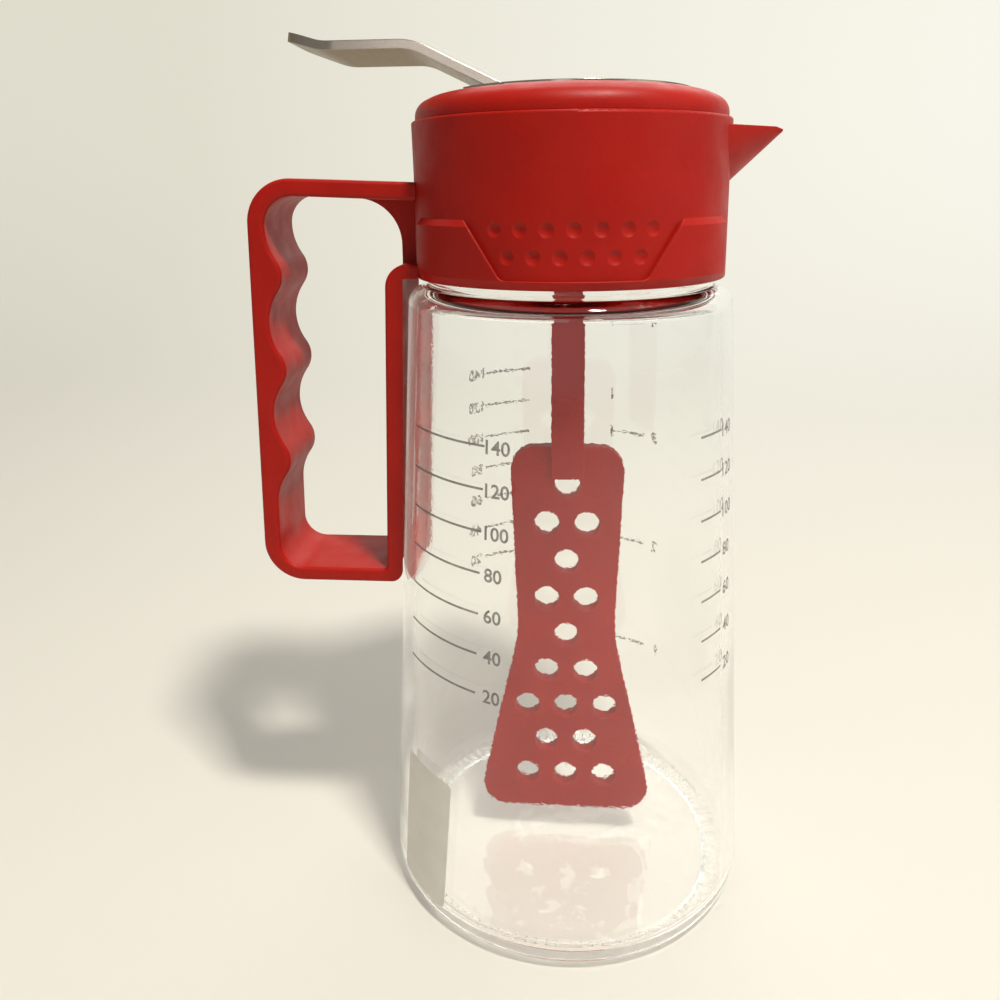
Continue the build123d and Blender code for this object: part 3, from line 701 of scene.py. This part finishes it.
@dataclass
class GlassBottle:
    """The tapered glass bottle, a lathe surface with rounded heel, shoulder and lip."""

    finishes: Finishes
    shoulder_radius: float = 35.5
    shoulder_height: float = 141.0
    foot_radius: float = 42.5
    neck_radius: float = 31.0
    wall: float = 2.8
    floor: float = 3.5
    floor_round: float = 2.5
    heel_round: float = 4.2
    shoulder_round: float = 3.8
    lip_round: float = 1.2
    punt: float = 1.0
    punt_round: float = 1.0
    stand_ring: float = 2.5
    stand_round: float = 0.8
    segments: int = 288

    def __post_init__(self) -> None:
        """Reads the height of the mouth from the frame."""
        self.mouth_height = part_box("glass_bottle")[1].z / MM

    def wall_radius(self, height: float) -> float:
        """Outer radius of the tapered wall at a height, from the foot to the shoulder."""
        share = height / self.shoulder_height
        return self.foot_radius + (self.shoulder_radius - self.foot_radius) * share

    def profile(self) -> np.ndarray:
        """Outline (radius, height) from the punt's centre out, up, over the lip and down inside.

        Returns:
            Points of the outline.
        """
        stand_inner = self.foot_radius - self.heel_round - self.stand_ring
        inner_shoulder = self.shoulder_height - self.wall
        bore = self.neck_radius - self.wall
        return rounded_line([
            (0, self.punt, 0),
            (stand_inner - self.punt, self.punt, self.punt_round),
            (stand_inner, 0, self.stand_round),
            (self.foot_radius, 0, self.heel_round),
            (self.shoulder_radius, self.shoulder_height, self.shoulder_round),
            (self.neck_radius, self.shoulder_height, self.lip_round),
            (self.neck_radius, self.mouth_height, self.lip_round),
            (bore, self.mouth_height, self.lip_round),
            (bore, inner_shoulder, self.lip_round),
            (self.wall_radius(inner_shoulder) - self.wall, inner_shoulder, self.shoulder_round / 2),
            (self.wall_radius(self.floor) - self.wall, self.floor, self.floor_round),
            (0, self.floor, 0),
        ])

    def marks(self, profile: np.ndarray) -> dict[str, np.ndarray]:
        """Marks the inner wall, the bearing ring and the rest of the base along the outline.

        Args:
            profile: the outline's points (radius, height).

        Returns:
            A value of 0 or 1 for each point, under each attribute's name.
        """
        radius, height = profile[:, 0], profile[:, 1]
        heel = self.foot_radius - self.heel_round
        inside = (radius < self.wall_radius(height) - self.wall / 2) & (height > self.floor * 1.2)
        bearing = (height < self.punt / 4) & (radius > heel - self.stand_ring)
        base = (height < self.floor + self.floor_round / 2) & (radius < heel)
        found = {"inside": inside, "bearing": bearing, "base": base & ~bearing}
        return {key: values.astype(float) for key, values in found.items()}

    def build(self) -> None:
        """Makes the glass and puts it in the place of its plain solid."""
        profile = self.profile()
        glass = lathe("glass_body", profile, self.segments, self.marks(profile))
        self.finishes.dress(glass, Slot.GLASS)
        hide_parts("glass_bottle")
        settle(glass, Body.BOTTLE)


@dataclass
class NeckThread:
    """Rounded bead that winds round the neck as a screw thread and fades at both ends."""

    finishes: Finishes
    neck_radius: float = 31.0
    proud: float = 0.8
    half_height: float = 1.1
    root_share: float = 0.9
    low: float = 143.6
    pitch: float = 3.6
    turns: float = 1.35
    fade_share: float = 0.06
    least_size: float = 0.02
    steps: int = 300
    sides: int = 12

    def build(self) -> None:
        """Makes the bead: ring k sits on the neck at angle a, at height low + pitch a / tau.

        A ring is half an ellipse outward of the neck, closed by a flat inside the glass, and
        its size eases from almost nothing at each end, as the root of the way along.
        """
        along = np.linspace(0, 1, self.steps)
        angle = along * self.turns * tau
        faded = np.clip(np.minimum(along, 1 - along) / self.fade_share, self.least_size, 1)
        size = np.sqrt(faded)[:, None]
        turn = np.linspace(-pi / 2, pi / 2, self.sides)
        out = np.concatenate([np.cos(turn) * self.proud, [-self.proud / 2, -self.proud / 2]])
        up = np.concatenate([np.sin(turn), [self.root_share, -self.root_share]])
        radius = self.neck_radius + size * out
        height = self.low + self.pitch * angle[:, None] / tau + size * up * self.half_height
        x, y = radius * np.cos(angle)[:, None], radius * np.sin(angle)[:, None]
        thread = tube("neck_thread", np.stack([x, y, height], axis=2))
        self.finishes.dress(thread, Slot.GLASS)
        settle(thread, Body.BOTTLE)


@dataclass(frozen=True)
class Scale:
    """A printed column: its azimuth in degrees, the top row's height and the lines' length."""

    azimuth: float
    top: float
    line: float


@dataclass
class WallPrint:
    """Grey printed scales on the glass: short level lines, each with a plain number.

    The figure size is the size of the type over the height of its figures.
    """

    finishes: Finishes
    glass: GlassBottle
    left: Scale = Scale(-150.0, 112.8, 22.0)
    right: Scale = Scale(-44.0, 112.8, 8.0)
    back: Scale = Scale(107.0, 114.5, 14.0)
    cup_scale: Scale = Scale(49.0, 128.5, 10.0)
    lift: float = 0.03
    line_width: float = 0.5
    number_height: float = 3.0
    number_weight: float = 0.07
    number_gap: float = 1.2
    figure_size: float = 1.35
    curve_steps: int = 3
    rows: int = 7
    row_pitch: float = 8.75
    row_step: int = 20
    cup_marks: int = 4
    cup_pitch: float = 31.0
    middle: float = 80.0

    def wrap(self, flat: np.ndarray, azimuth: float, height: float) -> np.ndarray:
        """Bends flat points (u, v) onto the wall: angle = azimuth + u / radius, z = height + v.

        Args:
            flat: points in millimetres, one row each.
            azimuth: where u = 0 lies, in degrees.
            height: where v = 0 lies, in millimetres.

        Returns:
            Points in space, just off the glass.
        """
        z = height + flat[:, 1]
        radius = self.glass.wall_radius(z) + self.lift
        angle = radians(azimuth) + flat[:, 0] / self.glass.wall_radius(height)
        return np.stack([radius * np.cos(angle), radius * np.sin(angle), z], axis=1)

    def line(self, azimuth: float, height: float, length: float, width: float) -> Patch:
        """Corners and triangles of one line of a length and an upright width, from an azimuth."""
        across = np.linspace(0, length, max(3, int(length) + 1))
        lower = np.stack([across, np.full_like(across, -width / 2)], axis=1)
        upper = lower + [0, width]
        quads = grid_faces(2, len(across))
        triangles = np.concatenate([quads[:, [0, 1, 2]], quads[:, [0, 2, 3]]])
        return self.wrap(np.concatenate([lower, upper]), azimuth, height), triangles

    def number(self, value: int, azimuth: float, height: float) -> Patch:
        """Corners and triangles of a plain number whose left end is at an azimuth."""
        curve = bpy.data.curves.new("number_outline", "FONT")
        curve.body, curve.size = str(value), self.number_height * self.figure_size
        curve.resolution_u, curve.offset = self.curve_steps, self.number_weight
        holder = bpy.data.objects.new("number_outline", curve)
        mesh = bpy.data.meshes.new_from_object(holder)
        mesh.calc_loop_triangles()
        flat = np.array([corner.co[:2] for corner in mesh.vertices])
        triangles = np.array([list(face.vertices) for face in mesh.loop_triangles])
        bpy.data.objects.remove(holder)
        bpy.data.curves.remove(curve)
        bpy.data.meshes.remove(mesh)
        flat = flat - [flat[:, 0].min(), self.number_height / 2]
        return self.wrap(flat, azimuth, height), triangles

    def later(self, azimuth: float, length: float) -> float:
        """Azimuth in degrees at a length in millimetres round the wall from another azimuth."""
        return azimuth + np.degrees(length / self.glass.wall_radius(self.middle))

    def column(self, scale: Scale) -> list[Patch]:
        """Equal rows of a level line and a plain number after it, counted up from the lowest.

        Args:
            scale: where the column stands; its lines start at the azimuth.

        Returns:
            The patches of ink.
        """
        parts = []
        beside = self.later(scale.azimuth, scale.line + self.number_gap)
        for row in range(self.rows):
            height = scale.top - row * self.row_pitch
            parts.append(self.line(scale.azimuth, height, scale.line, self.line_width))
            parts.append(self.number(self.row_step * (self.rows - row), beside, height))
        return parts

    def cups(self, scale: Scale) -> list[Patch]:
        """Number, level line and two short uprights at each equal step of the cup scale.

        Args:
            scale: where the scale stands; its numbers start at the azimuth.

        Returns:
            The patches of ink.
        """
        parts = []
        after = self.later(scale.azimuth, self.number_height + self.number_gap)
        end = self.later(after, scale.line)
        for mark in range(self.cup_marks):
            height = scale.top - mark * self.cup_pitch
            parts.append(self.number(self.cup_marks - mark, scale.azimuth, height))
            parts.append(self.line(after, height, scale.line, self.line_width))
            for rise in (0, self.cup_pitch / 3):
                parts.append(self.line(end, height + rise, self.line_width, self.number_height))
        return parts

    def stamp(self, name: str, parts: list[Patch]) -> None:
        """Makes patches of ink into a single piece that rides on the bottle."""
        starts = np.cumsum([0] + [len(points) for points, _ in parts[:-1]])
        points = np.concatenate([points for points, _ in parts])
        faces = np.concatenate([faces + start for (_, faces), start in zip(parts, starts)])
        print_piece = put_mesh(name, points, faces)
        self.finishes.dress(print_piece, Slot.GLASS, self.finishes.ink)
        settle(print_piece, Body.BOTTLE)

    def build(self) -> None:
        """Makes the three columns round the bottle and the cup scale at its back."""
        self.stamp("scale_left", self.column(self.left))
        self.stamp("scale_right", self.column(self.right))
        self.stamp("scale_back", self.column(self.back))
        self.stamp("scale_cups", self.cups(self.cup_scale))


@dataclass
class WallLabel:
    """Bare white label glued to the glass low at the handle's side, its corners rounded."""

    finishes: Finishes
    glass: GlassBottle
    low: float = 4.8
    high: float = 36.2
    start: float = -151.5
    end: float = -128.2
    lean: float = 2.7
    corner: float = 1.2
    lift: float = 0.06
    columns: int = 40
    rows: int = 40

    def build(self) -> None:
        """Makes the label: a grid in azimuth and height on the wall, pulled in at its corners.

        Row v from -1 to 1 has height middle + v half_height and half width w less what the
        corner's arc cuts off there, and it is moved round by v half_height tan(lean).
        """
        u, v = np.meshgrid(np.linspace(-1, 1, self.columns), np.linspace(-1, 1, self.rows))
        half_height = (self.high - self.low) / 2
        height = (self.low + self.high) / 2 + v * half_height
        radius = self.glass.wall_radius(height)
        half_width = radians(self.end - self.start) / 2 * self.glass.wall_radius(self.low)
        beyond = np.maximum(np.abs(v) * half_height - half_height + self.corner, 0)
        pulled = self.corner - np.sqrt(np.maximum(self.corner ** 2 - beyond ** 2, 0))
        moved = v * half_height * tan(radians(self.lean))
        middle = radians((self.start + self.end) / 2)
        angle = middle + (u * (half_width - pulled) + moved) / radius
        x, y = (radius + self.lift) * np.cos(angle), (radius + self.lift) * np.sin(angle)
        points = np.stack([x, y, height], axis=2).reshape(-1, 3)
        label = put_mesh("wall_label", points, grid_faces(self.rows, self.columns))
        self.finishes.dress(label, Slot.GLASS, self.finishes.paper)
        settle(label, Body.BOTTLE)


@dataclass
class ReturnSpring:
    """Round wire carried along a helix whose end turns lie flat against their seats."""

    finishes: Finishes
    turns: float = 4.0
    wire: float = 0.9
    closed_turns: float = 0.9
    end_rise: float = 0.12
    soft_share: float = 0.28
    steps_a_turn: int = 48
    sides: int = 14
    kept_share: float = 0.46

    def __post_init__(self) -> None:
        """Reads the spring's seats and radius from the frame."""
        low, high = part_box("return_spring")
        self.low, self.high = low.z / MM + self.wire / 2, high.z / MM - self.wire / 2
        self.radius = (high.x - low.x) / MM / 2 - self.wire / 2

    def build(self) -> None:
        """Makes the wire: ring k of the tube sits on the helix point (R cos a, R sin a, z(a)).

        The rise z(a) eases in and out over the closed end turns, so both ends lie almost flat.
        """
        count = int(self.turns * self.steps_a_turn) + 1
        along = np.linspace(0, 1, count)
        angle = along * self.turns * tau
        flat = self.closed_turns / self.turns / 2
        eased = np.clip((along - flat) / (1 - 2 * flat), 0, 1)
        smooth = eased * eased * (3 - 2 * eased)
        eased = eased * (1 - self.soft_share) + smooth * self.soft_share
        share = self.end_rise * along + (1 - self.end_rise) * eased
        rise = self.low + (self.high - self.low) * share
        centre = np.stack([self.radius * np.cos(angle), self.radius * np.sin(angle), rise], axis=1)
        tangent = np.gradient(centre, axis=0)
        tangent /= np.linalg.norm(tangent, axis=1, keepdims=True)
        outward = np.stack([np.cos(angle), np.sin(angle), np.zeros(count)], axis=1)
        across = np.cross(tangent, outward)
        turn = np.arange(self.sides) * tau / self.sides
        ring = (outward[:, None] * np.cos(turn)[None, :, None]
                + across[:, None] * np.sin(turn)[None, :, None])
        spring = tube("spring_wire", centre[:, None] + ring * self.wire / 2)
        self.finishes.dress(spring, Slot.BRIGHT_STEEL)
        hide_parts("return_spring")
        settle(spring, Body.LID)
        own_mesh(spring)


@dataclass
class CarriedParts:
    """The CAD pieces whose own shape shows, each with the finish of its slot."""

    finishes: Finishes
    frame: dict

    def build(self) -> None:
        """Dresses every CAD node that nothing replaces with the finish that the record names."""
        for row in self.frame["record"]["subparts"]:
            node = self.frame["nodes"][row["node"]]
            if node.hide_render:
                continue
            self.finishes.dress(node, Slot(row["material_slot"]))
            log.info("%s: finish %s", row["node"], row["material_slot"])


@dataclass(frozen=True)
class Lamp:
    """Square soft lamp, turned to the bottle's middle. Its power is in watts."""

    name: str
    place: Place
    size: float
    power: float
    colour: Colour
    target: Place = (0, 0, 100)

    def hang(self) -> None:
        """Puts the lamp in its place."""
        data = bpy.data.lights.new(self.name, "AREA")
        data.size, data.energy, data.color = self.size * MM, self.power, self.colour
        lamp = bpy.data.objects.new(self.name, data)
        lamp.location = Vector(self.place) * MM
        aim = Vector(self.target) * MM - lamp.location
        lamp.rotation_mode = "QUATERNION"
        lamp.rotation_quaternion = aim.to_track_quat("-Z", "Y")
        bpy.context.scene.collection.objects.link(lamp)


@dataclass
class Studio:
    """Pale floor and backdrop, soft lamps and the camera of the photograph.

    The glow is paper seen as light. Its ranges tell where it changes: its colour from left to
    right, and its share towards the backdrop and away from the middle.
    """

    key: Lamp = Lamp("key", (230, -330, 1000), 120, 10.0, (1.0, 0.95, 0.86))
    side: Lamp = Lamp("side", (750, -250, 420), 600, 0.9, (1.0, 0.96, 0.90))
    rear: Lamp = Lamp("rear", (100, 650, 700), 700, 2.0, (1.0, 0.98, 0.95))
    floor_colour: Colour = (0.775, 0.755, 0.695)
    floor_roughness: float = 0.7
    floor_gloss: float = 0.2
    floor_drop: float = 0.15
    floor_half_width: float = 1600.0
    floor_front: float = 1500.0
    backdrop_distance: float = 900.0
    backdrop_height: float = 1500.0
    backdrop_round: float = 350.0
    backdrop_step: float = 3.0
    glow_left: Colour = (0.80, 0.775, 0.66)
    glow_right: Colour = (1.0, 0.99, 0.89)
    glow_near: float = 0.2
    glow_far: float = 0.9
    glow_across: Range = (-450.0, 450.0)
    glow_back: Range = (150.0, 950.0)
    glow_away: Range = (450.0, 1300.0)
    card_place: Place = (-130.0, -1000.0, 330.0)
    card_size: float = 280.0
    card_strength: float = 1.6
    world_colour: Colour = (1.0, 0.975, 0.91)
    world_light: float = 0.20
    world_gloss: float = 0.33
    world_seen: float = 0.85
    camera_place: Place = (0.0, -196.5, 162.15)
    camera_azimuth: float = 94.54
    camera_pitch: float = 12.77
    camera_roll: float = -0.56
    camera_clip: Range = (10.0, 20000.0)
    lens: float = 31.61
    sensor: float = 36.0
    shift_up: float = -0.115

    def build(self) -> None:
        """Sets the floor, the card, the lamps, the world and the camera."""
        self.floor()
        self.card()
        for lamp in (self.key, self.side, self.rear):
            lamp.hang()
        self.world()
        self.camera()
        bpy.context.scene.view_settings.view_transform = "Standard"

    def floor(self) -> None:
        """Sweep of floor and backdrop: a rounded line in Y and Z carried along X."""
        line = rounded_line([
            (-self.floor_front, -self.floor_drop, 0),
            (self.backdrop_distance, -self.floor_drop, self.backdrop_round),
            (self.backdrop_distance, self.backdrop_height, 0),
        ], radians(self.backdrop_step))
        across = np.array([-self.floor_half_width, self.floor_half_width])
        x, y = np.meshgrid(across, line[:, 0])
        z = np.broadcast_to(line[:, 1:], x.shape)
        points = np.stack([x, y, z], axis=2).reshape(-1, 3)
        sweep = put_mesh("studio_sweep", points, grid_faces(len(line), 2))
        recipe = Recipe("studio_paper")
        recipe.set(Base_Color=self.floor_colour, Roughness=self.floor_roughness,
                   Specular_IOR_Level=self.floor_gloss)
        self.glow(recipe)
        sweep.data.materials.append(recipe.material)

    def glow(self, recipe: Recipe) -> None:
        """Lets camera, mirror and glass rays see the paper partly as an even pale light.

        Args:
            recipe: the paper's material, whose shader is mixed with the glow.
        """
        rays, axes = recipe.rays(), recipe.axes()
        camera = rays["Is Camera Ray"]
        seen = recipe.math("MAXIMUM", camera, rays["Is Glossy Ray"])
        seen = recipe.math("MAXIMUM", seen, rays["Is Transmission Ray"])
        seen = recipe.math("MULTIPLY", seen, recipe.unscattered(rays))
        across, back, away = ((low * MM, high * MM) for low, high in (
            self.glow_across, self.glow_back, self.glow_away))
        side = recipe.span(axes["X"], 0, 1, *across)
        share = recipe.span(axes["Y"], self.glow_near, self.glow_far, *back)
        edge = recipe.span(recipe.measure("LENGTH", recipe.place), 0, self.glow_far, *away)
        share = recipe.math("MAXIMUM", share, recipe.math("MULTIPLY", edge, camera))
        light = recipe.tree.nodes.new("ShaderNodeEmission")
        recipe.join(recipe.blend(side, self.glow_left, self.glow_right), light.inputs["Color"])
        recipe.show_mix(recipe.math("MULTIPLY", seen, share), recipe.shader.outputs["BSDF"],
                        light.outputs["Emission"])

    def card(self) -> None:
        """White card in front, seen only in the gloss of the steel and the plastic."""
        middle, half = Vector(self.card_place), self.card_size / 2
        points = np.array([[middle.x + u * half, middle.y, middle.z + v * half]
                           for u, v in ((-1, -1), (-1, 1), (1, 1), (1, -1))])
        card = put_mesh("studio_card", points, np.array([[0, 1, 2, 3]]))
        recipe = Recipe("card_white")
        light = recipe.tree.nodes.new("ShaderNodeEmission")
        clear = recipe.tree.nodes.new("ShaderNodeBsdfTransparent")
        light.inputs["Strength"].default_value = self.card_strength
        rays = recipe.rays()
        outside = recipe.math("LESS_THAN", rays["Transmission Depth"], NONE_YET)
        share = recipe.math("MULTIPLY", rays["Is Glossy Ray"], outside)
        recipe.show_mix(share, clear.outputs["BSDF"], light.outputs["Emission"])
        card.data.materials.append(recipe.material)

    def world(self) -> None:
        """Even pale light from all round, brighter where it is seen itself, in gloss or glass."""
        world = bpy.data.worlds.new("studio_world")
        world.use_nodes = True
        nodes = Nodes(world.node_tree)
        background = nodes.tree.nodes["Background"]
        background.inputs["Color"].default_value = (*self.world_colour, 1.0)
        rays = nodes.rays()
        seen = nodes.math("MAXIMUM", rays["Is Camera Ray"], rays["Is Transmission Ray"])
        seen = nodes.math("MULTIPLY", seen, self.world_seen - self.world_light)
        gloss = nodes.math("MULTIPLY", rays["Is Glossy Ray"], self.world_gloss - self.world_light)
        more = nodes.math("MULTIPLY", nodes.math("MAXIMUM", seen, gloss), nodes.unscattered(rays))
        nodes.join(nodes.math("ADD", more, self.world_light), background.inputs["Strength"])
        bpy.context.scene.world = world

    def camera(self) -> None:
        """Camera at the photograph's place, pitch, roll, lens and upward shift."""
        data = bpy.data.cameras.new("camera")
        data.lens, data.shift_y, data.sensor_width = self.lens, self.shift_up, self.sensor
        data.clip_start, data.clip_end = (distance * MM for distance in self.camera_clip)
        camera = bpy.data.objects.new("camera", data)
        azimuth, pitch = radians(self.camera_azimuth), radians(self.camera_pitch)
        ahead = Vector((cos(azimuth) * cos(pitch), sin(azimuth) * cos(pitch), -sin(pitch)))
        camera.location = Vector(self.camera_place) * MM
        camera.rotation_mode = "QUATERNION"
        roll = Quaternion((0, 0, 1), radians(self.camera_roll))
        camera.rotation_quaternion = ahead.to_track_quat("-Z", "Y") @ roll
        bpy.context.scene.collection.objects.link(camera)
        bpy.context.scene.camera = camera


def main() -> None:
    """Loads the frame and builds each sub-assembly in order."""
    logging.basicConfig(level=logging.INFO, format="%(message)s")
    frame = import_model()
    finishes = Finishes()
    Studio().build()
    glass = GlassBottle(finishes)
    glass.build()
    NeckThread(finishes).build()
    WallPrint(finishes, glass).build()
    WallLabel(finishes, glass).build()
    ReturnSpring(finishes).build()
    CarriedParts(finishes, frame).build()


if __name__ == "__main__":
    main()
